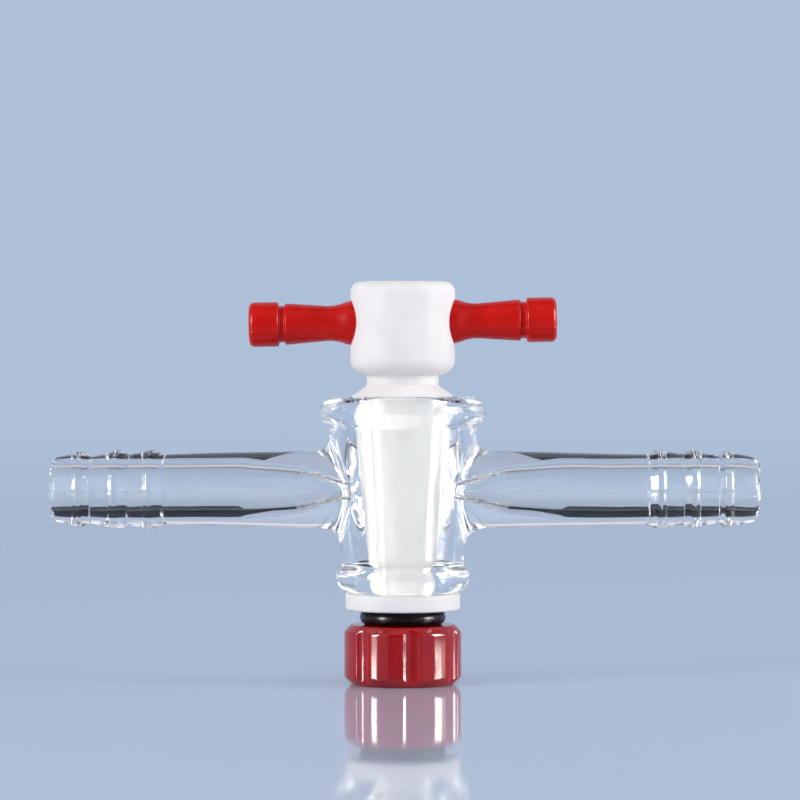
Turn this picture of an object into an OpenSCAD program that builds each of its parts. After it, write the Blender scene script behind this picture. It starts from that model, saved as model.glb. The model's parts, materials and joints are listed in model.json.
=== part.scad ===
// Two-way glass stopcock with a PTFE key, a T-handle and two hose barbs.
// It stands on its tension nut: +Z runs up the key, the arms lie along X, and z = 0 is the nut's lower face.

/* [Tapered socket] */
// Bore of the glass socket at its upper, large end
socket_d = 14.5; // [10:0.1:24]
// Length over which the bore's diameter changes by 1
taper_run = 5; // [4:0.5:10]
// Height of the glass barrel
barrel_h = 28; // [22:0.5:44]
// Glass around the tapered bore
barrel_wall = 3.75; // [2:0.05:6]
// Radius of the rounded beads at both ends of the barrel
bead_r = 2.3; // [1.5:0.1:3]
// How far the upper bead stands out past the barrel
upper_bead_out = 1.1; // [0.3:0.1:2]
// How far the lower bead stands out past the barrel
lower_bead_out = 1.1; // [0.3:0.1:2]
// Radial gap between the glass and the key
key_clearance = 0.05; // [0.02:0.01:0.1]

/* [Arms] */
// Distance from the key's axis to each arm's tip
arm_reach = 50.7; // [42:0.1:80]
// Height of the arms above the barrel's lower end
arm_rise = 14.7; // [11:0.1:18]
// Outer diameter of an arm where it leaves the barrel
arm_root_d = 10.9; // [9:0.1:14]
// Outer diameter of an arm where its barbs begin
arm_neck_d = 10.1; // [8.4:0.1:13]
// Inner diameter of an arm
arm_bore_d = 6.1; // [3.5:0.1:7]
// Radius of the blend between an arm and the barrel
arm_blend_r = 2.4; // [1:0.1:4]
// Length over which an arm's bore narrows to the flow hole
funnel_len = 8; // [2:0.1:12]
// Flow hole through the barrel's wall and through the key
flow_d = 2.5; // [1:0.1:3]

/* [Hose barbs] */
// Number of barbs on each arm
barb_count = 3; // [1:1:4]
// Distance between two barbs
barb_pitch = 4.9; // [4:0.1:7]
// Distance from an arm's tip to its first barb
barb_first = 4.6; // [3:0.1:7]
// Diameter over a barb's crest
barb_d = 11.4; // [11:0.1:15]
// Diameter between two barbs
barb_root_d = 9.9; // [8.2:0.1:12]
// Outer diameter of an arm's tip
tip_d = 9.1; // [7.8:0.1:10]
// Width of the land on a barb's crest
barb_land = 0.5; // [0.2:0.1:1]
// Length of a barb's steep side
barb_fall = 0.9; // [0.5:0.1:2]

/* [Key] */
// How far the key's small end stays above the barrel's lower face
key_recess = 0.6; // [0.3:0.1:1.5]
// Height of the cone from the taper's large end in to the neck
shoulder_h = 1.5; // [0.5:0.1:3]
// Height of the neck between the cone and the head
neck_h = 1.5; // [0.5:0.1:4]
// Diameter of the neck
neck_d = 10.2; // [8:0.1:13]
// Diameter of the head
head_d = 14.9; // [12:0.1:20]
// Height of the head
head_h = 13.3; // [11:0.1:20]
// Rounding of the head's upper edge
head_top_r = 1.5; // [0.5:0.1:3]
// Rounding of the head's lower edge
head_base_r = 1.9; // [0.5:0.1:2.5]
// Height of the handle's hole above the head's lower face
handle_rise = 7.5; // [5.5:0.1:9]

/* [Threaded stem] */
// Step from the taper's small end in to the stem
stem_step = 0.6; // [0.3:0.1:0.8]
// Depth of each of the two flats along the stem
flat_depth = 0.6; // [0.2:0.1:0.9]
// Bevel at the stem's lower end
stem_bevel = 0.6; // [0.2:0.1:1]
// How far the stem's end stays above the nut's lower face
stem_recess = 0.8; // [0.2:0.1:3]

/* [Handle] */
// Overall length of the handle
handle_l = 43.7; // [34:0.1:60]
// Diameter of the handle inside the head
handle_d = 6.4; // [4:0.1:7]
// Radial gap between the handle and its hole
handle_clearance = 0.02; // [0.01:0.01:0.05]
// Diameter of the waist beside the head
waist_d = 4.85; // [3.5:0.05:6]
// Distance from the head to the waist
waist_run = 3.1; // [1.5:0.1:5]
// Diameter of the grip beside its groove
grip_d = 5.9; // [4.5:0.1:8]
// Diameter at the bottom of the groove
groove_d = 5.2; // [4:0.1:7]
// Width of the groove
groove_w = 0.9; // [0.4:0.1:1.5]
// Diameter of the end knob
knob_d = 6.35; // [5:0.05:9]
// Length of the end knob
knob_l = 4.2; // [3:0.1:6]
// Rounding of the knob's edges
knob_r = 0.7; // [0.3:0.1:1.3]

/* [Washer and ring] */
// Thickness of the washer
washer_t = 2.4; // [1:0.05:4]
// Width of the washer around the stem
washer_w = 4.3; // [3:0.1:6]
// Rounding of the washer's edges
washer_r = 0.35; // [0.1:0.05:0.6]
// Thickness of the ring's cord before it is squeezed
ring_cord_d = 2.2; // [1.5:0.05:3]
// How much the tight nut flattens the ring
ring_squeeze = 0.1; // [0.05:0.05:0.4]
// Radial gap between the stem and what slides or turns on it
stem_clearance = 0.05; // [0.02:0.01:0.1]

/* [Nut] */
// Height of the nut
nut_h = 8.5; // [6:0.1:14]
// Width of the nut around the stem
nut_w = 4.5; // [3.5:0.1:7]
// Bevel at the nut's upper edge
nut_top_bevel = 0.95; // [0.3:0.05:1.5]
// Bevel at the nut's lower edge
nut_base_bevel = 1.1; // [0.3:0.05:1.5]
// Number of flutes around the nut
flute_count = 7; // [5:1:16]
// Radius of a flute
flute_r = 2.1; // [1:0.1:4]
// Depth of a flute
flute_depth = 0.42; // [0.1:0.02:0.8]
// Bevel at both ends of the nut's hole
nut_hole_bevel = 0.5; // [0.2:0.1:1]

/* [Hidden] */
$fn = 96;
cut = 1; // how far a cutter runs past what it cuts
sunk = 0.1; // how far the arms' blends start inside the barrel and the arms

// heights, from the nut's lower face up
ring_h = ring_cord_d - ring_squeeze;
ring_z = nut_h;
washer_z = ring_z + ring_h;
barrel_z = washer_z + washer_t;
barrel_top = barrel_z + barrel_h;
arm_z = barrel_z + arm_rise;
neck_z = barrel_top + shoulder_h;
head_z = neck_z + neck_h;
handle_z = head_z + handle_rise;

// radii of the taper and of what follows it
function socket_r(z) = socket_d / 2 - (barrel_top - z) / (2 * taper_run);
key_end_z = barrel_z + key_recess;
stem_r = socket_r(key_end_z) - key_clearance - stem_step;
hole_r = stem_r + stem_clearance;
washer_or = stem_r + washer_w;
ring_mid_r = hole_r + ring_cord_d / 2;
nut_r = stem_r + nut_w;

// radii of the barrel's outside
function barrel_r(z) = socket_r(z) + barrel_wall;
lower_bead = [barrel_r(barrel_z + bead_r) + lower_bead_out - bead_r, barrel_z + bead_r];
upper_bead = [barrel_r(barrel_top - bead_r) + upper_bead_out - bead_r, barrel_top - bead_r];

// places along an arm, from the key's axis out
wall_x = barrel_r(arm_z);
funnel_x = wall_x + funnel_len;
blend_r = arm_root_d / 2 + arm_blend_r;
tip_r = (tip_d - arm_bore_d) / 4;

// places along half of the handle, from the key's axis out
grip_x = handle_l / 2 - knob_l - groove_w;
waist_x = head_d / 2 + waist_run;

// A rectangle from the axis out to r, with its two outer corners rounded
module rounded_section(r, h, lower_r, upper_r) {
    square([r - lower_r, h / 2]);
    translate([0, h / 2]) square([r - upper_r, h / 2]);
    translate([0, lower_r]) square([r, h - lower_r - upper_r]);
    translate([r - lower_r, lower_r]) circle(lower_r);
    translate([r - upper_r, h - upper_r]) circle(upper_r);
}

module barrel_section() {
    polygon([
        [0, barrel_z],
        [lower_bead[0], barrel_z],
        [barrel_r(lower_bead[1]), lower_bead[1]],
        [barrel_r(upper_bead[1]), upper_bead[1]],
        [upper_bead[0], barrel_top],
        [0, barrel_top]
    ]);
    translate(lower_bead) circle(bead_r);
    translate(upper_bead) circle(bead_r);
}

module arm_section() {
    barbs = [for (i = [barb_count - 1 : -1 : 0]) arm_reach - barb_first - i * barb_pitch];
    crests = [for (x = barbs) each [
        [x == barbs[0] ? arm_neck_d / 2 : barb_root_d / 2, x - barb_land / 2 - barb_fall],
        [barb_d / 2, x - barb_land / 2],
        [barb_d / 2, x + barb_land / 2]
    ]];
    polygon(concat(
        [[0, 0], [arm_root_d / 2, 0], [arm_root_d / 2, wall_x + arm_blend_r]],
        crests,
        [[tip_d / 2, arm_reach - tip_r], [0, arm_reach - tip_r]]
    ));
    translate([tip_d / 2 - tip_r, arm_reach - tip_r]) circle(tip_r);
}

// Straight-sided blend from a patch of the barrel out to an arm
module arm_blend() {
    low = arm_z - blend_r;
    high = arm_z + blend_r;
    hull() {
        intersection() {
            translate([0, 0, low])
                cylinder(r1 = barrel_r(low) - sunk, r2 = barrel_r(high) - sunk, h = high - low, $fn = 32);
            translate([0, 0, arm_z]) rotate([0, 90, 0]) cylinder(r = blend_r, h = 2 * wall_x, $fn = 32);
        }
        translate([0, 0, arm_z]) rotate([0, 90, 0])
            cylinder(r = arm_root_d / 2 - sunk, h = wall_x + arm_blend_r, $fn = 32);
    }
}

module arm_bore() {
    cylinder(r = flow_d / 2, h = funnel_x);
    translate([0, 0, wall_x]) cylinder(r1 = flow_d / 2, r2 = arm_bore_d / 2, h = funnel_len);
    translate([0, 0, funnel_x]) cylinder(r = arm_bore_d / 2, h = arm_reach - funnel_x + cut);
}

module glass_body() {
    color("aliceblue", 0.5) difference() {
        union() {
            rotate_extrude() barrel_section();
            for (side = [0, 180]) rotate([0, 0, side]) {
                translate([0, 0, arm_z]) rotate([0, 90, 0]) rotate_extrude() arm_section();
                arm_blend();
            }
        }
        translate([0, 0, barrel_z - cut])
            cylinder(r1 = socket_r(barrel_z - cut), r2 = socket_r(barrel_top + cut), h = barrel_h + 2 * cut);
        for (side = [0, 180]) rotate([0, 0, side]) translate([0, 0, arm_z]) rotate([0, 90, 0]) arm_bore();
    }
}

module plug_section() {
    end_r = socket_r(key_end_z) - key_clearance;
    large_r = socket_r(barrel_top) - key_clearance;
    polygon([
        [0, stem_recess],
        [stem_r - stem_bevel, stem_recess],
        [stem_r, stem_recess + stem_bevel],
        [stem_r, key_end_z],
        [end_r, key_end_z],
        [large_r, barrel_top],
        [neck_d / 2, neck_z],
        [neck_d / 2, head_z + head_base_r],
        [0, head_z + head_base_r]
    ]);
    translate([0, head_z]) rounded_section(head_d / 2, head_h, head_base_r, head_top_r);
}

module plug() {
    color("white") difference() {
        rotate_extrude() plug_section();
        for (side = [0, 180]) {
            rotate([0, 0, side]) translate([-stem_r - cut, stem_r - flat_depth, 0])
                cube([2 * (stem_r + cut), stem_r, key_end_z]);
        }
        translate([-head_d, 0, arm_z]) rotate([0, 90, 0]) cylinder(r = flow_d / 2, h = 2 * head_d);
        translate([-head_d, 0, handle_z]) rotate([0, 90, 0])
            cylinder(r = handle_d / 2 + handle_clearance, h = 2 * head_d);
    }
}

module half_handle_section() {
    polygon([
        [0, 0],
        [handle_d / 2, 0],
        [handle_d / 2, head_d / 2],
        [waist_d / 2, waist_x],
        [grip_d / 2, grip_x],
        [groove_d / 2, grip_x],
        [groove_d / 2, handle_l / 2 - knob_l / 2],
        [0, handle_l / 2 - knob_l / 2]
    ]);
    translate([0, handle_l / 2 - knob_l]) rounded_section(knob_d / 2, knob_l, knob_r, knob_r);
}

module t_handle() {
    color("crimson") translate([0, 0, handle_z]) for (side = [-90, 90]) {
        rotate([0, side, 0]) rotate_extrude() half_handle_section();
    }
}

// What sits on the stem's two flats: a round hole with the same flats
module keyed_hole(h) {
    intersection() {
        cylinder(r = hole_r, h = h);
        flats = stem_r - flat_depth + stem_clearance;
        translate([-2 * hole_r, -flats, 0]) cube([4 * hole_r, 2 * flats, h]);
    }
}

module washer() {
    color("whitesmoke") translate([0, 0, washer_z]) difference() {
        rotate_extrude() rounded_section(washer_or, washer_t, washer_r, washer_r);
        translate([0, 0, -cut]) keyed_hole(washer_t + 2 * cut);
    }
}

module o_ring() {
    color("black") translate([0, 0, ring_z]) rotate_extrude() intersection() {
        translate([ring_mid_r, ring_h / 2]) circle(ring_cord_d / 2);
        square([2 * ring_mid_r, ring_h]);
    }
}

module tension_nut() {
    color("firebrick") difference() {
        rotate_extrude() polygon([
            [hole_r, nut_hole_bevel],
            [hole_r + nut_hole_bevel, 0],
            [nut_r - nut_base_bevel, 0],
            [nut_r, nut_base_bevel],
            [nut_r, nut_h - nut_top_bevel],
            [nut_r - nut_top_bevel, nut_h],
            [hole_r + nut_hole_bevel, nut_h],
            [hole_r, nut_h - nut_hole_bevel]
        ]);
        for (i = [0 : flute_count - 1]) {
            rotate([0, 0, i * 360 / flute_count - 90]) translate([nut_r + flute_r - flute_depth, 0, -cut])
                cylinder(r = flute_r, h = nut_h + 2 * cut);
        }
    }
}

glass_body();
plug();
t_handle();
washer();
o_ring();
tension_nut();
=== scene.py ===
import json
import math

import bpy
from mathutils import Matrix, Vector


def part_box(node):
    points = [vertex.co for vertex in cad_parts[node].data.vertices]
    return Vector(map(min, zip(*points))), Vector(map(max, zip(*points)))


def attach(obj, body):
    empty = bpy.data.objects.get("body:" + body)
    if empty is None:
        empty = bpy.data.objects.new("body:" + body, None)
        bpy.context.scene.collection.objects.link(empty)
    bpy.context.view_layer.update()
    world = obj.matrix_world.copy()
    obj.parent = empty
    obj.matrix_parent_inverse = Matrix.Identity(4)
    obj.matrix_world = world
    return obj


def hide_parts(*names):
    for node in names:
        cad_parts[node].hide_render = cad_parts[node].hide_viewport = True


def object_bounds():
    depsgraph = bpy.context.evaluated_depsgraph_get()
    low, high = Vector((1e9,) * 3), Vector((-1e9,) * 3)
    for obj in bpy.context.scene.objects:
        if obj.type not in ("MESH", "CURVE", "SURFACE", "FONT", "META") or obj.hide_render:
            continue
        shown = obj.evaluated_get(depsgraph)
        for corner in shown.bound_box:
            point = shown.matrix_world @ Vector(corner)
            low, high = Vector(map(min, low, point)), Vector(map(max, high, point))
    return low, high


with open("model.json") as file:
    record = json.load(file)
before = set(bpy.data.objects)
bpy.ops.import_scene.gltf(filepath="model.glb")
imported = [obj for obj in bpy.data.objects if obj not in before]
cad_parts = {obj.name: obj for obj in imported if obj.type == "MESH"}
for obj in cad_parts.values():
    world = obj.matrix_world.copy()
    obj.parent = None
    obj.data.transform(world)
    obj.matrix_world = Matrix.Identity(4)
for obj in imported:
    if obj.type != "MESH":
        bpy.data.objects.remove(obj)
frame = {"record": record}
cadLow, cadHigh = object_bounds()

mm = 0.001  # outlines are drawn in millimetres, Blender's own unit here is the metre
mounts = {mount["name"]: mount for mount in frame["record"]["mounts"]}


def nodeBox(name):
    low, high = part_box(name)
    return low / mm, high / mm


def linear(colour):
    parts = [int(colour[i:i + 2], 16) / 255 for i in (1, 3, 5)]
    return [c / 12.92 if c <= 0.04045 else ((c + 0.055) / 1.055) ** 2.4 for c in parts] + [1]


def perMm(size):  # a texture's scale for features of this size in millimetres
    return 1 / (size * mm)


def bezier(points, t):
    a, b, c, d = points
    s = 1 - t
    return a * s ** 3 + b * (3 * s * s * t) + c * (3 * s * t * t) + d * t ** 3


def curveShare(turn):  # where an arc's control points lie, as a share of its tangent length
    return 4 / 3 * math.tan(turn / 4) / math.tan(turn / 2)


reachAlone = 0.95  # share of a stretch that a rounding may use
reachShared = 0.48  # the same where the stretch's other end is rounded too


def rounded(corners, steps=6, longest=None):
    # each corner is (x, y, rounding radius), and the two ends stay sharp;
    # stretches longer than the longest are divided
    path = []
    corners = [(*corners[0][:2], 0), *corners[1:-1], (*corners[-1][:2], 0)]
    for i, (x, y, radius) in enumerate(corners):
        here = Vector((x, y))
        if not radius:
            path.append(here)
            continue
        back = Vector(corners[i - 1][:2]) - here
        ahead = Vector(corners[i + 1][:2]) - here
        turn = math.pi - back.angle(ahead)
        if turn < 0.001:  # no corner here
            path.append(here)
            continue
        backShare, aheadShare = [reachShared if corners[k][2] else reachAlone
                                 for k in (i - 1, i + 1)]
        reach = min(radius * math.tan(turn / 2), back.length * backShare, ahead.length * aheadShare)
        start = here + back.normalized() * reach
        end = here + ahead.normalized() * reach
        share = curveShare(turn)
        curve = [start, start.lerp(here, share), end.lerp(here, share), end]
        path += [bezier(curve, s / steps) for s in range(steps + 1)]
    if longest is None:
        return path
    divided = [path[0]]
    for a, b in zip(path, path[1:]):
        parts = max(1, math.ceil((b - a).length / longest))
        divided += [a.lerp(b, (s + 1) / parts) for s in range(parts)]
    return divided


def spread(first, last, steps):
    return [first + (last - first) * s / steps for s in range(steps + 1)]


def arc(centre, radius, first, last, steps):  # angles in degrees
    angles = [math.radians(a) for a in spread(first, last, steps)]
    return [Vector((centre[0] + radius * math.cos(a), centre[1] + radius * math.sin(a)))
            for a in angles]


def softMax(a, b, width):  # the larger of two sizes, with a fillet where they cross
    near = max(width - abs(a - b), 0) / width
    return max(a, b) + near * near * width / 4


def softMin(a, b, width):
    return -softMax(-a, -b, width)


def ease(t):  # from 0 to 1 with soft ends, flat beyond them
    t = min(max(t, 0), 1)
    return t * t * (3 - 2 * t)


def flatSide(angle, away):  # distance from the axis to a flat that lies across Y
    return away / max(abs(math.sin(angle)), 0.01)


class Skin:  # points and faces of one piece, in millimetres
    def __init__(self):
        self.points = []
        self.faces = []

    def ring(self, places):
        first = len(self.points)
        self.points += [tuple(place) for place in places]
        return list(range(first, len(self.points)))

    def join(self, lower, upper, gaps=()):
        count = len(lower)
        for i in range(count):
            k = (i + 1) % count
            if i not in gaps:
                self.faces.append((lower[i], lower[k], upper[k], upper[i]))

    def chain(self, rings):
        for lower, upper in zip(rings, rings[1:]):
            self.join(lower, upper)

    def tip(self, ring, place, above):  # closes a ring to one point
        centre = self.ring([place])[0]
        for i in range(len(ring)):
            k = (i + 1) % len(ring)
            self.faces.append((ring[i], ring[k], centre) if above else (centre, ring[k], ring[i]))

    def build(self, name, body, node, material, sharp=None):
        mesh = bpy.data.meshes.new(name)
        mesh.from_pydata([[c * mm for c in point] for point in self.points], [], self.faces)
        mesh.shade_smooth()
        if sharp:
            mesh.set_sharp_from_angle(angle=math.radians(sharp))
        mesh.materials.append(material)
        piece = bpy.data.objects.new(name, mesh)
        bpy.context.scene.collection.objects.link(piece)
        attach(piece, body)
        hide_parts(node)
        print(name, len(mesh.polygons), "faces")


windowHalfAngle = 58  # half of the wall that each side window takes, in degrees round the key
windowSteps = 32  # faces along each edge of a window
plainSteps = 18  # columns between the two windows
windowColumns = (0, windowSteps + plainSteps)  # first column of the right and of the left window
ringCount = 4 * windowSteps
ringAngles = [math.radians(-45 + 360 * i / ringCount) for i in range(ringCount)]


def columnAngles():
    plain = (180 - 2 * windowHalfAngle) / plainSteps
    half = [-windowHalfAngle + 2 * windowHalfAngle * i / windowSteps for i in range(windowSteps)]
    half += [windowHalfAngle + plain * i for i in range(plainSteps)]
    return [math.radians(a) for a in half + [a + 180 for a in half]]


def lathe(skin, path, angles):
    return [skin.ring((p[0] * math.cos(a), p[0] * math.sin(a), p[1]) for a in angles) for p in path]


def joinRows(skin, grid, windows, closed):
    # windows are spans of rows that stay open at both sides
    pairs = list(zip(range(len(grid)), range(1, len(grid))))
    if closed:
        pairs.append((len(grid) - 1, 0))
    opened = {c + i for c in windowColumns for i in range(windowSteps)}
    for a, b in pairs:
        inside = any(low <= a and b <= high and a < b for low, high in windows)
        skin.join(grid[a], grid[b], opened if inside else ())


def windowLoop(grid, rows, first):
    # counter-clockwise from the lower right corner, seen from outside; rows run from low to high
    last = first + windowSteps
    right = [grid[r][last] for r in rows[:-1]]
    top = [grid[rows[-1]][c] for c in range(last, first, -1)]
    left = [grid[r][first] for r in reversed(rows[1:])]
    bottom = [grid[rows[0]][c] for c in range(first, last)]
    return right + top + left + bottom


def armPlace(side, x, rho, phi, axisZ, shift=(0, 0)):
    # side is 1 for +X and -1 for -X; rho and phi go round the arm's own axis
    return side * x, side * (rho * math.cos(phi) + shift[0]), axisZ + rho * math.sin(phi) + shift[1]


def curvedCorner(phi, wallRadius, axisZ, tubeRadius, onWall, onTube, way):
    # the corner between a round wall and a tube, in the plane through the tube's axis: (rho, x);
    # onWall and onTube say how far its rounding reaches along each
    def depth(rho):
        return math.sqrt(wallRadius(axisZ + rho * math.sin(phi)) ** 2 - (rho * math.cos(phi)) ** 2)

    def slope(rho, step=0.01):
        return (depth(rho + step) - depth(rho - step)) / (2 * step)

    edge = slope(tubeRadius)
    turn = math.acos(-way * edge / math.hypot(1, edge))
    size = math.tan(turn / 2)
    share = curveShare(turn)
    rho = tubeRadius + onWall * size / math.hypot(1, edge)
    start = Vector((rho, depth(rho)))
    along = Vector((-1, -slope(rho))).normalized()
    end = Vector((tubeRadius, depth(tubeRadius) + way * onTube * size))
    return [start, start + along * onWall * size * share,
            end - Vector((0, way)) * onTube * size * share, end]


def openingRings(skin, loop, side, wallRadius, axisZ, tubeRadius, onWall, onTube,
                 way, across, bend):
    # rings from a window's edge over the wall and round the corner into a tube, and where they
    # end; way is 1 where the tube leads away from the key's axis and -1 where it leads inwards
    corners = [curvedCorner(phi, wallRadius, axisZ, tubeRadius, onWall(phi), onTube(phi), way)
               for phi in ringAngles]
    rings = [loop]
    edge = [skin.points[i] for i in loop]
    for s in range(1, across + 1):
        t = s / across
        places = []
        for point, corner, phi in zip(edge, corners, ringAngles):
            y = side * point[1] * (1 - t) + corner[0][0] * math.cos(phi) * t
            z = point[2] * (1 - t) + (axisZ + corner[0][0] * math.sin(phi)) * t
            places.append((side * math.sqrt(wallRadius(z) ** 2 - y * y), side * y, z))
        rings.append(skin.ring(places))
    for s in range(1, bend + 1):
        turned = [bezier(corner, s / bend) for corner in corners]
        rings.append(skin.ring(armPlace(side, p[1], p[0], phi, axisZ)
                               for p, phi in zip(turned, ringAngles)))
    return rings, [corner[3][1] for corner in corners]


def addNode(tree, kind, settings=None, links=None):
    node = tree.nodes.new(kind)
    for key, value in (settings or {}).items():
        if key in node.inputs:
            node.inputs[key].default_value = value
        else:
            setattr(node, key, value)
    for key, source in (links or {}).items():
        tree.links.new(source, node.inputs[key])
    return node


def startMaterial(name, settings):
    material = bpy.data.materials.new(name)
    material.use_nodes = True
    tree = material.node_tree
    tree.nodes.clear()
    place = addNode(tree, "ShaderNodeTexCoord").outputs["Object"]
    shader = addNode(tree, "ShaderNodeBsdfPrincipled", settings)
    addNode(tree, "ShaderNodeOutputMaterial", links={"Surface": shader.outputs["BSDF"]})
    return material, tree, shader, place


def borosilicateGlass():
    # Borosilicate glass, drawn and worked in the flame: clear and bright-edged, with faint draw
    # lines and a soft waviness that bends its highlights.
    look = {"lineWidth": 0.9, "lineLength": 14, "lineDepth": 0.05, "waveSize": 5, "waveDepth": 0.2,
            "roughLow": 0.0, "roughHigh": 0.03}
    material, tree, shader, place = startMaterial("borosilicateGlass", {
        "Base Color": linear("#FCFEFE"), "IOR": 1.473, "Transmission Weight": 1.0})
    stretched = addNode(tree, "ShaderNodeMapping", {
        "Scale": (perMm(look["lineLength"]), perMm(look["lineWidth"]), perMm(look["lineWidth"]))
    }, {"Vector": place})
    lines = addNode(tree, "ShaderNodeTexNoise", {"Scale": 1.0, "Detail": 1.0},
                    {"Vector": stretched.outputs["Vector"]})
    waves = addNode(tree, "ShaderNodeTexNoise", {"Scale": perMm(look["waveSize"]), "Detail": 1.0},
                    {"Vector": place})
    lineBump = addNode(tree, "ShaderNodeBump", {
        "Strength": 0.1, "Distance": look["lineDepth"] * mm}, {"Height": lines.outputs["Fac"]})
    waveBump = addNode(tree, "ShaderNodeBump", {
        "Strength": 0.25, "Distance": look["waveDepth"] * mm
    }, {"Height": waves.outputs["Fac"], "Normal": lineBump.outputs["Normal"]})
    rough = addNode(tree, "ShaderNodeMapRange", {
        "From Min": 0.45, "From Max": 0.75, "To Min": look["roughLow"], "To Max": look["roughHigh"]
    }, {"Value": waves.outputs["Fac"]})
    tree.links.new(rough.outputs["Result"], shader.inputs["Roughness"])
    tree.links.new(waveBump.outputs["Normal"], shader.inputs["Normal"])
    return material


def turnedPtfe():
    # PTFE turned from bar: waxy white, light goes a little way in, faint tool rings round the axis.
    look = {
        "ringPitch": 0.5,  # real tool rings are 0.1 mm apart, drawn wider to show
        "ringDepth": 0.01,
        "mottleSize": 3.5,
        "roughLow": 0.36,
        "roughHigh": 0.5,
    }
    material, tree, shader, place = startMaterial("turnedPtfe", {
        "IOR": 1.35, "Specular IOR Level": 0.2, "Subsurface Weight": 0.3,
        "Subsurface Radius": (1.0, 0.95, 0.9), "Subsurface Scale": 1.2 * mm})
    mottle = addNode(tree, "ShaderNodeTexNoise", {
        "Scale": perMm(look["mottleSize"]), "Detail": 3.0}, {"Vector": place})
    colour = addNode(tree, "ShaderNodeValToRGB", links={"Fac": mottle.outputs["Fac"]})
    colour.color_ramp.elements[0].position = 0.3
    colour.color_ramp.elements[0].color = linear("#F2F0EC")
    colour.color_ramp.elements[1].position = 0.7
    colour.color_ramp.elements[1].color = linear("#F8F6F3")
    # a band of this texture is pi / 10 long at scale 1
    rings = addNode(tree, "ShaderNodeTexWave", {
        "bands_direction": "Z", "Scale": math.pi / 10 / (look["ringPitch"] * mm),
        "Distortion": 0.6, "Detail": 1.0, "Detail Scale": 0.4}, {"Vector": place})
    bump = addNode(tree, "ShaderNodeBump", {"Strength": 0.12, "Distance": look["ringDepth"] * mm},
                   {"Height": rings.outputs["Fac"]})
    rough = addNode(tree, "ShaderNodeMapRange", {
        "To Min": look["roughLow"], "To Max": look["roughHigh"]}, {"Value": mottle.outputs["Fac"]})
    tree.links.new(colour.outputs["Color"], shader.inputs["Base Color"])
    tree.links.new(rough.outputs["Result"], shader.inputs["Roughness"])
    tree.links.new(bump.outputs["Normal"], shader.inputs["Normal"])
    return material


moulded = {
    "cloudSize": 4,  # slow change of colour and gloss, in millimetres
    "sinkSize": 3,  # soft hollows where the moulding shrank
    "sinkDepth": 0.15,
    "grainDepth": 0.01,
    "roughSpread": (0.8, 1.25),  # how far the roughness strays, as shares of it
}


def mouldedPlastic(name, light, dark, roughness, settings, grain=0.35):
    # grain is the size of the skin's fine pits in millimetres, coarser than real so that it shows
    material, tree, shader, place = startMaterial(name, settings)
    cloud = addNode(tree, "ShaderNodeTexNoise", {
        "Scale": perMm(moulded["cloudSize"]), "Detail": 3.0}, {"Vector": place})
    colour = addNode(tree, "ShaderNodeValToRGB", links={"Fac": cloud.outputs["Fac"]})
    colour.color_ramp.elements[0].position = 0.3
    colour.color_ramp.elements[0].color = linear(dark)
    colour.color_ramp.elements[1].position = 0.7
    colour.color_ramp.elements[1].color = linear(light)
    pits = addNode(tree, "ShaderNodeTexNoise", {"Scale": perMm(grain), "Detail": 2.0},
                   {"Vector": place})
    sinks = addNode(tree, "ShaderNodeTexNoise", {
        "Scale": perMm(moulded["sinkSize"]), "Detail": 0.0}, {"Vector": place})
    fine = addNode(tree, "ShaderNodeBump", {
        "Strength": 0.15, "Distance": moulded["grainDepth"] * mm}, {"Height": pits.outputs["Fac"]})
    broad = addNode(tree, "ShaderNodeBump", {
        "Strength": 0.2, "Distance": moulded["sinkDepth"] * mm
    }, {"Height": sinks.outputs["Fac"], "Normal": fine.outputs["Normal"]})
    glossy, dull = [roughness * share for share in moulded["roughSpread"]]
    rough = addNode(tree, "ShaderNodeMapRange", {"To Min": glossy, "To Max": dull},
                    {"Value": cloud.outputs["Fac"]})
    tree.links.new(colour.outputs["Color"], shader.inputs["Base Color"])
    tree.links.new(rough.outputs["Result"], shader.inputs["Roughness"])
    tree.links.new(broad.outputs["Normal"], shader.inputs["Normal"])
    return material


def redPolypropylene():
    # Polypropylene, injection moulded: saturated warm red with a satin gloss, light sinks in a
    # little.
    return mouldedPlastic("redPolypropylene", "#D61306", "#C40E05", 0.24, {
        "IOR": 1.49, "Specular IOR Level": 0.25, "Subsurface Weight": 0.1,
        "Subsurface Radius": (1.0, 0.25, 0.15), "Subsurface Scale": 0.8 * mm})


def crimsonAbs():
    # ABS, moulded against a polished tool: deep crimson with sharp bright reflections along its
    # edges.
    return mouldedPlastic("crimsonAbs", "#AC0A14", "#980710", 0.06, {
        "IOR": 1.54, "Specular IOR Level": 0.55})


def nitrileRubber():
    # Nitrile rubber, press moulded: black with a soft skin sheen and fine pits.
    return mouldedPlastic("nitrileRubber", "#08080A", "#050506", 0.26, {
        "IOR": 1.52, "Specular IOR Level": 0.35}, grain=0.2)


glass = borosilicateGlass()
ptfe = turnedPtfe()
handleRed = redPolypropylene()
nutRed = crimsonAbs()
rubber = nitrileRubber()
print("materials made")


glassLow, glassHigh = nodeBox("glass_body")
armZ = mounts["bore_right"]["pos_m"][2] / mm
stemRadius = 3.86
holeRadius = 3.91

barrel = {
    "socketTop": 7.25,  # socket radius at its upper end
    "taper": 0.1,  # radius lost for each millimetre down
    "wall": 3.75,
    "beadRadius": 2.3,
    "beadOut": 1.1,
    "beadFillet": 0.35,
    "rimRounding": 0.4,
    "lip": 1,  # height of the stretch of socket that each rim is rounded into
    "windowHalf": 8.3,  # half of the windows' height, where the arms grow out
}


def socketRadius(z):
    return barrel["socketTop"] - barrel["taper"] * (glassHigh.z - z)


def barrelRadius(z):
    return socketRadius(z) + barrel["wall"]


def beadAt(z):  # centre of the bead at a height
    return barrelRadius(z) + barrel["beadOut"] - barrel["beadRadius"], z


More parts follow.
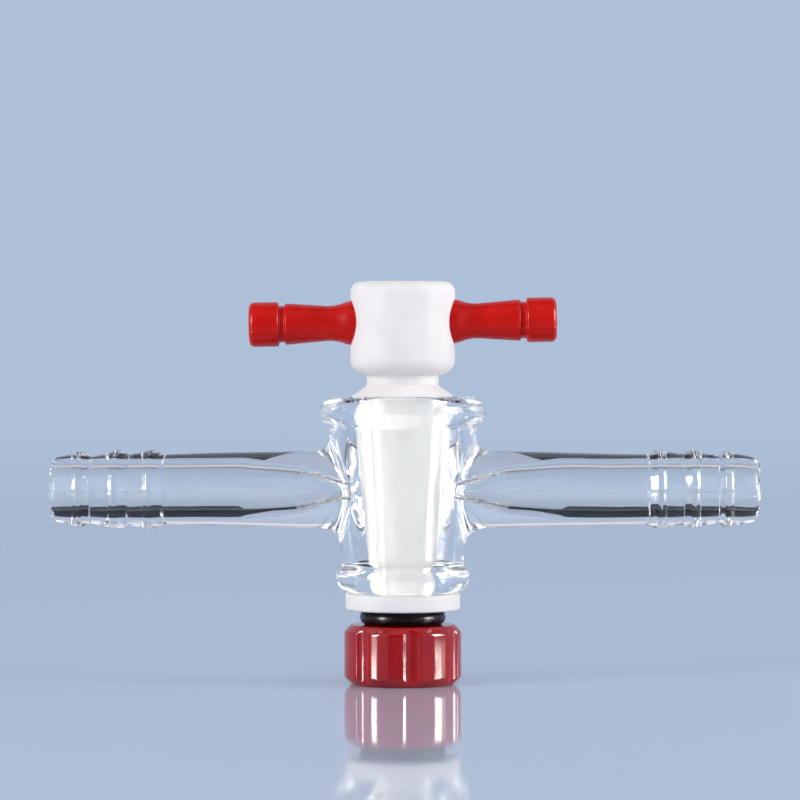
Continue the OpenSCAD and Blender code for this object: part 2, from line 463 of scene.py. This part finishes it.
def barrelOutline(z, centre):
    r = barrel["beadRadius"]
    bead = centre[0] + math.sqrt(max(r * r - (z - centre[1]) ** 2, 0))
    return Vector((softMax(barrelRadius(z), bead, barrel["beadFillet"]), z))


def socketPoints(heights):
    return [Vector((socketRadius(z), z)) for z in heights]


def barrelPath():  # from the lower rim up the outside and down the socket
    lower = beadAt(glassLow.z + barrel["beadRadius"])
    upper = beadAt(glassHigh.z - barrel["beadRadius"])
    low, high = armZ - barrel["windowHalf"], armZ + barrel["windowHalf"]
    lowLip, highLip = glassLow.z + barrel["lip"], glassHigh.z - barrel["lip"]
    rim = barrel["rimRounding"]
    path = rounded([(socketRadius(lowLip), lowLip, 0), (socketRadius(glassLow.z), glassLow.z, rim),
                    (lower[0], glassLow.z, 0)], 4)[1:]
    path += arc(lower, barrel["beadRadius"], -90, 0, 9)[1:]
    path += [barrelOutline(z, lower) for z in spread(lower[1], low, 18)[1:-1]]
    outerWindow = (len(path), len(path) + windowSteps)
    path += [barrelOutline(z, lower) for z in spread(low, high, windowSteps)]
    path += [barrelOutline(z, upper) for z in spread(high, upper[1], 14)[1:-1]]
    path += arc(upper, barrel["beadRadius"], 0, 90, 9)
    path += rounded([(upper[0], glassHigh.z, 0), (socketRadius(glassHigh.z), glassHigh.z, rim),
                     (socketRadius(highLip), highLip, 0)], 4)[1:]
    path += socketPoints(spread(highLip, high, 2)[1:-1])
    innerWindow = (len(path), len(path) + windowSteps)
    path += socketPoints(spread(high, low, windowSteps))
    path += socketPoints(spread(low, lowLip, 5)[1:])
    return path, outerWindow, innerWindow


arm = {
    "root": 5.45,  # outer radius beside the barrel
    "rootEnd": 14.6,  # from the key's axis: where the tube starts to run straight
    "neck": 5.08,  # outer radius where the barbs begin
    "neckLength": 4,
    "crests": (5.45, 5.65, 5.7),  # barb radii from the tip in
    "crestAt": {1: (4.7, 9.5, 14.25), -1: (4.25, 9.35, 14.25)},  # their distance from the tip
    "land": 0.35,  # half width of a crest
    "falls": {1: (0.8, 1.0, 1.1), -1: (1.15, 1.5, 1.6)},  # the step down behind each crest
    "troughs": (4.78, 5.08, 5.03),  # radii behind the crests
    "barbRoundings": (0.3, 0.4, 0.5, 0.4),  # of the trough, the crest's two edges and the cone
    "tip": 4.58,
    "tipLength": 2.3,  # from the end back to where the tip starts to draw in
    "tipStart": 4.95,
    "tipBevel": 0.75,
    "bore": 3.05,
    "boreEnd": 22.8,  # from the key's axis: where the bore starts to narrow
    "mouth": (0.8, 0.1),  # length and depth of the bore's flared mouth
    "throat": 2.4,  # bore radius half way down the funnel
    "throatAt": 14.5,
    "flowHole": 1.25,
    "flowHoleSpan": (9.5, 6.7),  # from the key's axis: its outer and inner end
    "blendOnBarrel": 2.18,
    "blendOnArm": 2.78,
    "blendDrop": 0.2,  # how much more blend the lower side has, as a share
    "holeRounding": 0.25,
    "shoulder": {1: (0.42, 0.31), -1: (0.5, 0.275)},  # length and height of each cone's steep end
    "short": {1: 0, -1: 0.6},  # hand work leaves the left arm a little shorter
    "wobble": 0.05,  # how far the tube wanders from its axis
    "wobbleStart": 15,
    "wobbleGrowth": 8,
    "wobbleRates": (0.31, 0.23),  # sideways and up, in radians for each millimetre
}


def armPath(side):  # the outside from the barrel to the tip, then the bore back to the barrel
    tipX = glassHigh.x - arm["short"][side]
    neckX = tipX - arm["crestAt"][side][-1] - arm["neckLength"]
    length, height = arm["shoulder"][side]
    outer = [(arm["rootEnd"], arm["root"], 0), (neckX, arm["neck"], 6)]
    barbs = list(zip(arm["crests"], arm["crestAt"][side], arm["falls"][side], arm["troughs"]))
    troughBend, inBend, outBend, coneBend = arm["barbRoundings"]
    for crest, at, fall, trough in reversed(barbs):
        inEnd = tipX - at - arm["land"]
        outEnd = tipX - at + arm["land"]
        outer += [(inEnd - fall, trough, troughBend), (inEnd, crest, inBend),
                  (outEnd, crest, outBend), (outEnd + length, crest - height, coneBend)]
    bevel = arm["tipBevel"]
    flareLength, flareDepth = arm["mouth"]
    outer += [(tipX - arm["tipLength"], arm["tipStart"], 3), (tipX - bevel, arm["tip"], 0.6),
              (tipX, arm["tip"] - bevel, 0.55), (tipX, arm["bore"] + flareDepth, 0.5),
              (tipX - flareLength, arm["bore"], 0.5)]
    holeStart, holeEnd = arm["flowHoleSpan"]
    inner = [(arm["boreEnd"], arm["bore"], 12), (arm["throatAt"], arm["throat"], 9),
             (holeStart, arm["flowHole"], 2), (holeEnd, arm["flowHole"], 0)]
    return rounded(outer + inner, 6, 0.75)


def armWobble(side, x):  # the slow waviness of a tube that was drawn and worked by hand
    size = arm["wobble"] * ease((x - arm["wobbleStart"]) / arm["wobbleGrowth"])
    sideways, up = arm["wobbleRates"]
    return size * math.sin(sideways * x + side), size * math.sin(up * x - 2 * side)


def growArm(skin, grid, side, outerWindow, innerWindow, first):
    outerRows = list(range(outerWindow[0], outerWindow[1] + 1))
    innerRows = list(range(innerWindow[1], innerWindow[0] - 1, -1))
    outside, starts = openingRings(
        skin, windowLoop(grid, outerRows, first), side, barrelRadius, armZ, arm["root"],
        lambda phi: arm["blendOnBarrel"] * (1 - arm["blendDrop"] * math.sin(phi)),
        lambda phi: arm["blendOnArm"] * (1 - arm["blendDrop"] * math.sin(phi)),
        way=1, across=8, bend=12)
    inside = openingRings(
        skin, windowLoop(grid, innerRows, first), side, socketRadius, armZ, arm["flowHole"],
        lambda phi: arm["holeRounding"], lambda phi: arm["holeRounding"],
        way=1, across=14, bend=4)[0]
    path = armPath(side)
    rings = list(outside)
    for share in (0.25, 0.5, 0.75):  # from the blend's uneven edge to the straight tube
        rings.append(skin.ring(armPlace(side, x + (path[0].x - x) * share, arm["root"], phi, armZ)
                               for x, phi in zip(starts, ringAngles)))
    for p in path:
        shift = armWobble(side, p.x)
        rings.append(skin.ring(armPlace(side, p.x, p.y, phi, armZ, shift)
                               for phi in ringAngles))
    skin.chain(rings + inside[::-1])


def makeGlassBody():
    skin = Skin()
    path, outerWindow, innerWindow = barrelPath()
    grid = lathe(skin, path, columnAngles())
    joinRows(skin, grid, [outerWindow, innerWindow], True)
    growArm(skin, grid, 1, outerWindow, innerWindow, windowColumns[0])
    growArm(skin, grid, -1, outerWindow, innerWindow, windowColumns[1])
    skin.build("glassBody", "glass", "glass_body", glass)


makeGlassBody()


keyLow, keyHigh = nodeBox("plug")
handleLow, handleHigh = nodeBox("t_handle")
handleZ = (handleLow.z + handleHigh.z) / 2

key = {
    "gap": 0.05,  # between the taper and the socket
    "endAbove": 0.6,  # the taper's small end, above the barrel's lower face
    "endFace": 0.7,  # how far in the flat ring round the stem reaches
    "endRounding": 0.3,
    "stemSteps": 96,
    "stemBevel": 0.6,
    "threadDepth": 0.62,
    "threadPitch": 1.5,
    "threadFlank": 1.6,  # how steep the flanks are; 1 is a plain wave
    "threadCrest": 0.3,  # how much of the crest is flattened
    "threadRunOut": 1.2,  # height over which the thread fades below the taper
    "flat": 3.26,  # from the axis to each flat along the stem
    "shoulder": 1.5,  # height of the cone above the glass
    "shoulderRounding": 0.35,
    "neckRounding": 0.25,
    "neckHeight": 1.5,
    "neckRadius": 5.1,
    "headRadius": 7.45,
    "headTopRounding": 1.5,
    "headBaseRounding": 2.2,
    "crossBore": 1.25,
    "crossBoreRounding": 0.15,
    "boreWindow": 5,  # half height of the wall that the cross bore's window takes
    "handleHole": 3.22,
    "handleHoleRounding": 0.25,
    "handleWindow": 4.1,
    "tunnelMeet": 3,  # from the axis: where the two halves of a hole are joined
}


def keyRadius(z):
    return socketRadius(z) - key["gap"]


def headRadius(z):  # the same at every height
    return key["headRadius"]


def threadRadius(z, angle, depth):  # right-hand thread with a flattened crest
    turn = (z / key["threadPitch"] - angle / math.tau) % 1
    groove = key["threadFlank"] * (1 - abs(2 * turn - 1)) - key["threadCrest"]
    return stemRadius - depth * ease(groove)


def keyPoints(heights):
    return [Vector((keyRadius(z), z)) for z in heights]


def keyPath():  # from the taper's small end up to the middle of the head's top
    end = glassLow.z + key["endAbove"]
    sideLow, sideHigh = end + 2, glassHigh.z - 1  # the taper's plain side
    neckZ = glassHigh.z + key["shoulder"]
    headZ = neckZ + key["neckHeight"]
    headSide = key["headRadius"]
    path = rounded([
        (keyRadius(end) - key["endFace"], end, 0), (keyRadius(end), end, key["endRounding"]),
        (keyRadius(sideLow), sideLow, 0)], 4)
    low, high = armZ - key["boreWindow"], armZ + key["boreWindow"]
    path += keyPoints(spread(sideLow, low, 8)[1:-1])
    boreWindow = (len(path), len(path) + windowSteps)
    path += keyPoints(spread(low, high, windowSteps))
    path += keyPoints(spread(high, sideHigh, 8)[1:])
    low, high = handleZ - key["handleWindow"], handleZ + key["handleWindow"]
    path += rounded([
        (keyRadius(sideHigh), sideHigh, 0),
        (keyRadius(glassHigh.z), glassHigh.z, key["shoulderRounding"]),
        (key["neckRadius"], neckZ, key["neckRounding"]), (key["neckRadius"], headZ, 0),
        (headSide, headZ, key["headBaseRounding"]), (headSide, low, 0)], 8)[1:-1]
    headWindow = (len(path), len(path) + windowSteps)
    path += [Vector((headSide, z)) for z in spread(low, high, windowSteps)]
    path += rounded([
        (headSide, high, 0), (headSide, keyHigh.z, key["headTopRounding"]),
        (0.05, keyHigh.z, 0)], 10, 1.2)[1:]
    return path, boreWindow, headWindow


def tunnel(skin, grid, window, wallRadius, axisZ, radius, rounding):
    # a hole right through along X, with rounded mouths
    rows = list(range(window[0], window[1] + 1))
    mouths = []
    for side, first in zip((1, -1), windowColumns):
        rings = openingRings(
            skin, windowLoop(grid, rows, first), side, wallRadius, axisZ, radius,
            lambda phi: rounding, lambda phi: rounding, way=-1, across=8, bend=5)[0]
        rings.append(skin.ring(armPlace(side, key["tunnelMeet"], radius, phi, axisZ)
                               for phi in ringAngles))
        skin.chain(rings)
        mouths.append(rings[-1])
    right, left = mouths
    # the left mouth's points in the order of the right one's, which they face
    facing = [left[(3 * ringCount // 4 - i) % ringCount] for i in range(ringCount)]
    skin.join(right, facing)


def makeKey():
    skin = Skin()
    angles = columnAngles()
    path, boreWindow, headWindow = keyPath()
    stemRings = []
    endZ = path[0].y
    for z in spread(keyLow.z, endZ, key["stemSteps"]):
        depth = key["threadDepth"] * ease((endZ - z) / key["threadRunOut"])
        bevelled = stemRadius - key["stemBevel"] + (z - keyLow.z)
        places = []
        for a in angles:
            r = min(threadRadius(z, a, depth), bevelled, flatSide(a, key["flat"]))
            places.append((r * math.cos(a), r * math.sin(a), z))
        stemRings.append(skin.ring(places))
    skin.tip(stemRings[0], (0, 0, keyLow.z), False)
    skin.chain(stemRings)
    grid = lathe(skin, path, angles)
    skin.join(stemRings[-1], grid[0])
    joinRows(skin, grid, [boreWindow, headWindow], False)
    skin.tip(grid[-1], (0, 0, keyHigh.z), True)
    tunnel(skin, grid, boreWindow, keyRadius, armZ, key["crossBore"], key["crossBoreRounding"])
    tunnel(skin, grid, headWindow, headRadius, handleZ, key["handleHole"],
           key["handleHoleRounding"])
    skin.build("key", "key", "plug", ptfe, 50)


makeKey()


handle = {
    "middle": 3.2,  # radius inside the head
    "waist": 2.42,
    "waistOut": 2.3,  # from the head to the waist
    "grip": 2.95,
    "groove": 2.58,
    "grooveWidth": 0.9,
    "grooveSlant": 0.1,
    "knob": 3.17,
    "knobLength": 4.2,
    "knobRounding": 0.75,
    "tilt": 1.0,  # the bar sits a little askew in the head, its right end higher, in degrees
    "partingAngle": 22,  # below the front, in degrees
    "partingHeight": 0.09,
    "partingWidth": 0.1,
    "partingStart": 0.8,  # length over which it grows, out of the head
    "fineStep": 0.9,  # degrees between the points across the parting line
    "coarseStep": 4,
}


def handlePath():
    end = handleHigh.x
    knobX = end - handle["knobLength"]
    gripX = knobX - handle["grooveWidth"]
    waistX = key["headRadius"] + handle["waistOut"]
    slant = handle["grooveSlant"]
    half = [
        (0, handle["middle"], 0), (key["headRadius"], handle["middle"], 5),
        (waistX, handle["waist"], 8), (gripX - slant, handle["grip"], 0.35),
        (gripX + slant, handle["groove"], 0.15), (knobX - slant, handle["groove"], 0.15),
        (knobX, handle["knob"], handle["knobRounding"] * 0.5),
        (end, handle["knob"], handle["knobRounding"]), (end, 0.05, 0)]
    right = rounded(half, 7, 0.9)
    left = [Vector((-p.x, p.y)) for p in right[:0:-1]]
    return left + right


def partingRidge(angle):  # the fine line where the mould's halves met
    away = (angle - math.radians(180 + handle["partingAngle"])) % math.pi
    away = min(away, math.pi - away) * handle["knob"]
    return handle["partingHeight"] * math.exp(-(away / handle["partingWidth"]) ** 2)


def tilted(x, y, z):
    tilt = math.radians(handle["tilt"])
    cosine, sine = math.cos(tilt), math.sin(tilt)
    return x * cosine - z * sine, y, handleZ + x * sine + z * cosine


def makeHandle():
    skin = Skin()
    parting = 180 + handle["partingAngle"]
    fine = [parting + side + step * handle["fineStep"]
            for side in (0, 180) for step in range(-5, 6)]
    coarse = [a for a in range(0, 360, handle["coarseStep"])
              if all(abs((a - f + 180) % 360 - 180) > handle["coarseStep"] / 2 for f in fine)]
    angles = [math.radians(a) for a in sorted(a % 360 for a in coarse + fine)]
    rings = []
    for p in handlePath():
        outside = ease((abs(p.x) - key["headRadius"]) / handle["partingStart"])
        grown = ease(p.y / 1.5) * outside  # and none at the middle of the end faces
        places = []
        for a in angles:
            r = p.y + grown * partingRidge(a)
            places.append(tilted(p.x, r * math.cos(a), r * math.sin(a)))
        rings.append(skin.ring(places))
    skin.chain(rings)
    skin.tip(rings[0], tilted(-handleHigh.x, 0, 0), False)
    skin.tip(rings[-1], tilted(handleHigh.x, 0, 0), True)
    skin.build("tHandle", "key", "t_handle", handleRed, 40)


makeHandle()


washerLow, washerHigh = nodeBox("washer")
ringLow, ringHigh = nodeBox("o_ring")
nutLow, nutHigh = nodeBox("tension_nut")

washer = {
    "radius": 8.15,
    "rounding": 0.35,
    "flat": 3.31,  # from the axis to each flat of the hole
    "holeEdge": 0.2,
    "steps": 160,
}


def makeWasher():
    skin = Skin()
    bottom, top = washerLow.z, washerHigh.z
    middle = (bottom + top) / 2
    outer, edge = washer["radius"], washer["holeEdge"]
    columns = []
    for a in spread(0, math.tau, washer["steps"])[:-1]:
        hole = min(holeRadius, flatSide(a, washer["flat"]))
        outline = rounded([
            (hole, middle, 0), (hole, bottom, edge), (outer, bottom, washer["rounding"]),
            (outer, top, washer["rounding"]), (hole, top, edge), (hole, middle, 0)], 5)
        columns.append([(p.x * math.cos(a), p.x * math.sin(a), p.y) for p in outline[:-1]])
    rings = [skin.ring(column[k] for column in columns) for k in range(len(columns[0]))]
    skin.chain(rings + [rings[0]])
    skin.build("washer", "seal", "washer", ptfe, 50)


makeWasher()

oRing = {
    "cord": 1.1,  # radius of the rubber before the nut presses it
    "flashHeight": 0.03,  # the mould's fine line round the outside
    "flashWidth": 0.08,
    "stepsRound": 144,
    "stepsAcross": 48,
}


def makeRing():
    skin = Skin()
    cord = oRing["cord"]
    middle = holeRadius + cord
    centre = (ringLow.z + ringHigh.z) / 2
    half = (ringHigh.z - ringLow.z) / 2
    path = []
    for a in spread(0, math.tau, oRing["stepsAcross"])[:-1]:
        away = math.sin(a) * cord / oRing["flashWidth"]
        flash = oRing["flashHeight"] * math.exp(-away ** 2) if math.cos(a) > 0 else 0
        height = max(min(cord * math.sin(a), half), -half)  # pressed flat above and below
        path.append(Vector((middle + (cord + flash) * math.cos(a), centre + height)))
    grid = lathe(skin, path, spread(0, math.tau, oRing["stepsRound"])[:-1])
    skin.chain(grid + [grid[0]])
    skin.build("oRing", "seal", "o_ring", rubber)


makeRing()

nut = {
    "radius": 8.36,
    "topBevel": 0.95,
    "baseBevel": 1.1,
    "flutes": 7,
    "fluteRadius": 2.0,
    "fluteDepth": 0.58,
    "turned": 9,  # where its front flute has come to rest, right of the front, in degrees
    "fluteShare": 0.22,  # half of a flute, as a share of the way to the next one
    "edgeRounding": 0.1,
    "bevelRounding": 0.25,
    "bevelReach": 0.5,  # how far past a bevel the fine rings go
    "faceInset": 0.12,  # the flat faces end this far inside the bevels
    "sideInset": 0.02,  # the side's first and last rings, from the faces
    "holeBevel": 0.5,
    "holeInset": 0.1,  # the hole's first and last rings, from the faces, and the faces' from it
    "threadDepth": 0.35,
    "threadPitch": 1.5,
    "threadSteps": 72,
}

nutFront = math.radians(nut["turned"] - 90)


def nutSide(angle):  # outer radius in one direction, flutes taken out
    step = math.tau / nut["flutes"]
    away = (angle - nutFront + step / 2) % step - step / 2
    centre = nut["radius"] + nut["fluteRadius"] - nut["fluteDepth"]
    left = nut["fluteRadius"] ** 2 - (centre * math.sin(away)) ** 2
    if left <= 0:
        return nut["radius"]
    return softMin(nut["radius"], centre * math.cos(away) - math.sqrt(left), nut["edgeRounding"])


def nutAngles():
    step = math.tau / nut["flutes"]
    half = nut["fluteShare"]
    shares = spread(-0.5, -half, 8)[:-1] + spread(-half, half, 24)[:-1] + spread(half, 0.5, 8)[:-1]
    return [nutFront + step * (k + s) for k in range(nut["flutes"]) for s in shares]


def makeNut():
    skin = Skin()
    angles = nutAngles()
    bottom, top = nutLow.z, nutHigh.z
    lowBevel, highBevel = bottom + nut["baseBevel"], top - nut["topBevel"]
    reach, soft = nut["bevelReach"], nut["bevelRounding"]
    faceStart = holeRadius + nut["holeBevel"] + nut["holeInset"]
    rings = []
    for r in spread(faceStart, nut["radius"] - nut["baseBevel"] - nut["faceInset"], 3):
        rings.append(skin.ring((r * math.cos(a), r * math.sin(a), bottom) for a in angles))
    heights = (spread(bottom + nut["sideInset"], lowBevel + reach, 14)
               + spread(lowBevel + reach, highBevel - reach, 8)[1:]
               + spread(highBevel - reach, top - nut["sideInset"], 14)[1:])
    for z in heights:
        lower = nut["radius"] - nut["baseBevel"] + (z - bottom)
        upper = nut["radius"] - nut["topBevel"] + (top - z)
        places = []
        for a in angles:
            r = softMin(softMin(nutSide(a), lower, soft), upper, soft)
            places.append((r * math.cos(a), r * math.sin(a), z))
        rings.append(skin.ring(places))
    for r in spread(nut["radius"] - nut["topBevel"] - nut["faceInset"], faceStart, 3):
        rings.append(skin.ring((r * math.cos(a), r * math.sin(a), top) for a in angles))
    for z in spread(top - nut["holeInset"], bottom + nut["holeInset"], nut["threadSteps"]):
        bevel = max(nut["holeBevel"] - min(z - bottom, top - z), 0)
        places = []
        for a in angles:
            turn = (z / nut["threadPitch"] - a / math.tau) % 1
            groove = nut["threadDepth"] * ease(1 - abs(2 * turn - 1))
            r = holeRadius + max(groove, bevel)
            places.append((r * math.cos(a), r * math.sin(a), z))
        rings.append(skin.ring(places))
    skin.chain(rings + [rings[0]])
    skin.build("tensionNut", "nut", "tension_nut", nutRed, 60)


makeNut()


stage = {
    "pale": "#AEBFD8",  # background
    "high": "#8F9DB4",  # the room higher up, and right overhead
    "top": "#5A626E",
    "floor": "#C6D0DF",
    "floorSize": 30,  # half its width, in metres as all that follow
    "fadeNear": 0.3,  # where the floor starts to turn into the background
    "fadeFar": 1.6,
    # the dark cards below the arms are painted shade, seen only through the glass
    "cardReach": 0.058,  # half depth of the dark cards below the arms
    "cardNarrow": 0.012,  # half depth close to the barrel
    "cardStarts": (0.010, 0.015, 0.024),  # from the axis: where they start, widen and are wide
    "cardPast": 0.01,  # how far they go on past the tips
    "cardLift": 0.0003,
    "flagAway": 0.75,  # from the key's axis, which is behind the camera
    "flagHalf": 0.42,  # half its width
    "flagHeight": 1.0,
    "flagLift": 0.001,
}


def showOnlyInGlass(obj):
    obj.visible_camera = False
    obj.visible_diffuse = False
    obj.visible_glossy = False
    obj.visible_shadow = False


def showOnlyInReflections(obj):
    obj.visible_camera = False
    obj.visible_diffuse = False
    obj.visible_transmission = False
    obj.visible_shadow = False


def makePlane(name, corners, material):
    mesh = bpy.data.meshes.new(name)
    mesh.from_pydata(corners, [], [range(len(corners))])
    mesh.materials.append(material)
    plane = bpy.data.objects.new(name, mesh)
    bpy.context.scene.collection.objects.link(plane)
    return plane


def makeFloor():
    # Pale acrylic sheet, cast and polished: a clear mirror at low angles, nearly none from above.
    material, tree, shader, place = startMaterial("paleAcrylicSheet", {
        "IOR": 1.25, "Roughness": 0.05, "Base Color": linear(stage["floor"])})
    output = next(node for node in tree.nodes if node.type == "OUTPUT_MATERIAL")
    reach = addNode(tree, "ShaderNodeVectorMath", {"operation": "LENGTH"}, {0: place})
    fade = addNode(tree, "ShaderNodeMapRange", {
        "interpolation_type": "SMOOTHSTEP",
        "From Min": stage["fadeNear"], "From Max": stage["fadeFar"]
    }, {"Value": reach.outputs["Value"]})
    far = addNode(tree, "ShaderNodeEmission", {"Color": linear(stage["pale"])})
    mixed = addNode(tree, "ShaderNodeMixShader", links={
        0: fade.outputs["Result"], 1: shader.outputs["BSDF"], 2: far.outputs["Emission"]})
    tree.links.new(mixed.outputs["Shader"], output.inputs["Surface"])
    size = stage["floorSize"]
    corners = [(-size, -size, 0), (size, -size, 0), (size, size, 0), (-size, size, 0)]
    floor = makePlane("floor", corners, material)


def makeShadeCards():
    # Black flocked card, dyed paper: it gives back almost no light from any side. The cards below
    # the arms are seen only through the glass, as painted shade in it.
    material = startMaterial("paintedShadeBlack", {
        "Roughness": 0.9, "Specular IOR Level": 0.0, "Base Color": linear("#050608")})[0]
    wide, narrow, far = stage["cardReach"], stage["cardNarrow"], cadHigh.x + stage["cardPast"]
    start, middle, full = stage["cardStarts"]
    half = [(start, narrow), (middle, narrow), (full, wide), (far, wide)]
    # the two cards below the arms: painted shade, seen only through the glass
    for name, side in (("paintedShadeCardLeft", -1), ("paintedShadeCardRight", 1)):
        edge = half + [(x, -y) for x, y in reversed(half)]
        card = makePlane(name, [(side * x, side * y, stage["cardLift"]) for x, y in edge[::-1]],
                         material)
        showOnlyInGlass(card)
    # a black flag behind the camera keeps the pale room out of the front reflections
    away, half = stage["flagAway"], stage["flagHalf"]
    low, high = stage["flagLift"], stage["flagHeight"]
    flag = makePlane("blackFlag", [(-half, -away, low), (half, -away, low),
                                   (half, -away, high), (-half, -away, high)], material)
    showOnlyInReflections(flag)


def addLamp(name, azimuth, elevation, distance, size, power, colour="#FFFFFF"):
    # azimuth 0 is the camera's side, positive to the right; distance and size in metres
    lamp = bpy.data.lights.new(name, "AREA")
    lamp.shape = "RECTANGLE"
    lamp.size, lamp.size_y = size
    lamp.energy = power
    lamp.color = linear(colour)[:3]
    obj = bpy.data.objects.new(name, lamp)
    a, e = math.radians(azimuth), math.radians(elevation)
    away = Vector((math.sin(a) * math.cos(e), -math.cos(a) * math.cos(e), math.sin(e)))
    centre = (cadLow + cadHigh) / 2
    obj.location = centre + away * distance
    obj.rotation_euler = away.to_track_quat("Z", "Y").to_euler()
    obj.visible_camera = False
    bpy.context.scene.collection.objects.link(obj)
    return obj


def makeLight():
    addLamp("leftStrip", -57.6, 18, 0.55, (0.125, 0.34), 1.5, "#FFF3E6")
    addLamp("rightStrip", 78, 18, 0.55, (0.27, 0.34), 1.9, "#FFF3E6")
    # bright cores of the two strips, for the reflections alone
    showOnlyInReflections(addLamp("leftGleam", -57.6, 18, 0.54, (0.09, 0.32), 2.8))
    showOnlyInReflections(addLamp("rightGleam", 74, 18, 0.54, (0.15, 0.32), 4.4))
    addLamp("overhead", 180, 56, 0.6, (0.5, 0.12), 0.08, "#FFD9A8")
    # the light from the camera's side that reaches the key through the glass, and nothing else
    showOnlyInGlass(addLamp("frontPanel", 0, 28, 0.5, (0.8, 0.6), 1.8, "#FFF6EC"))
    sun = bpy.data.lights.new("roomLight", "SUN")
    sun.energy = 0.35
    sun.angle = math.radians(80)
    sun.color = linear("#FFEEDC")[:3]
    obj = bpy.data.objects.new("roomLight", sun)
    obj.rotation_euler = (math.radians(42), 0, math.radians(-15))
    bpy.context.scene.collection.objects.link(obj)


def makeWorld():
    world = bpy.data.worlds.new("studio")
    world.use_nodes = True
    tree = world.node_tree
    tree.nodes.clear()
    place = addNode(tree, "ShaderNodeTexCoord").outputs["Generated"]
    split = addNode(tree, "ShaderNodeSeparateXYZ", links={"Vector": place})
    ramp = addNode(tree, "ShaderNodeValToRGB", links={"Fac": split.outputs["Z"]})
    stops = ramp.color_ramp.elements
    stops[0].position, stops[0].color = 0.0, linear(stage["pale"])
    stops[1].position, stops[1].color = 1.0, linear(stage["top"])
    middle = stops.new(0.5)
    middle.color = linear(stage["pale"])
    above = stops.new(0.85)
    above.color = linear(stage["high"])
    sky = addNode(tree, "ShaderNodeBackground", {"Strength": 1.0},
                  {"Color": ramp.outputs["Color"]})
    addNode(tree, "ShaderNodeOutputWorld", links={"Surface": sky.outputs["Background"]})
    bpy.context.scene.world = world


view = {
    "lens": 175.5,  # focal length and sensor width in millimetres
    "sensor": 36,
    "place": (-0.39, -554.8, 49.1),  # in millimetres
    "lookDown": 0.896,  # in degrees
}


def makeCamera():
    camera = bpy.data.cameras.new("camera")
    camera.lens = view["lens"]
    camera.sensor_width = view["sensor"]
    camera.clip_start, camera.clip_end = 0.01, 100
    obj = bpy.data.objects.new("camera", camera)
    obj.location = [c * mm for c in view["place"]]
    obj.rotation_euler = (math.radians(90 - view["lookDown"]), 0, 0)
    bpy.context.scene.collection.objects.link(obj)
    bpy.context.scene.camera = obj


makeFloor()
makeShadeCards()
makeLight()
makeWorld()
makeCamera()
print("stage made")

scene = bpy.context.scene
scene.view_settings.view_transform = "Standard"
scene.view_settings.look = "None"
scene.cycles.use_denoising = True
scene.cycles.max_bounces = 32
scene.cycles.transmission_bounces = 24
scene.cycles.glossy_bounces = 20  # light turns back many times inside the glass
scene.cycles.diffuse_bounces = 4
scene.cycles.caustics_refractive = True
scene.cycles.caustics_reflective = True
scene.cycles.sample_clamp_indirect = 0
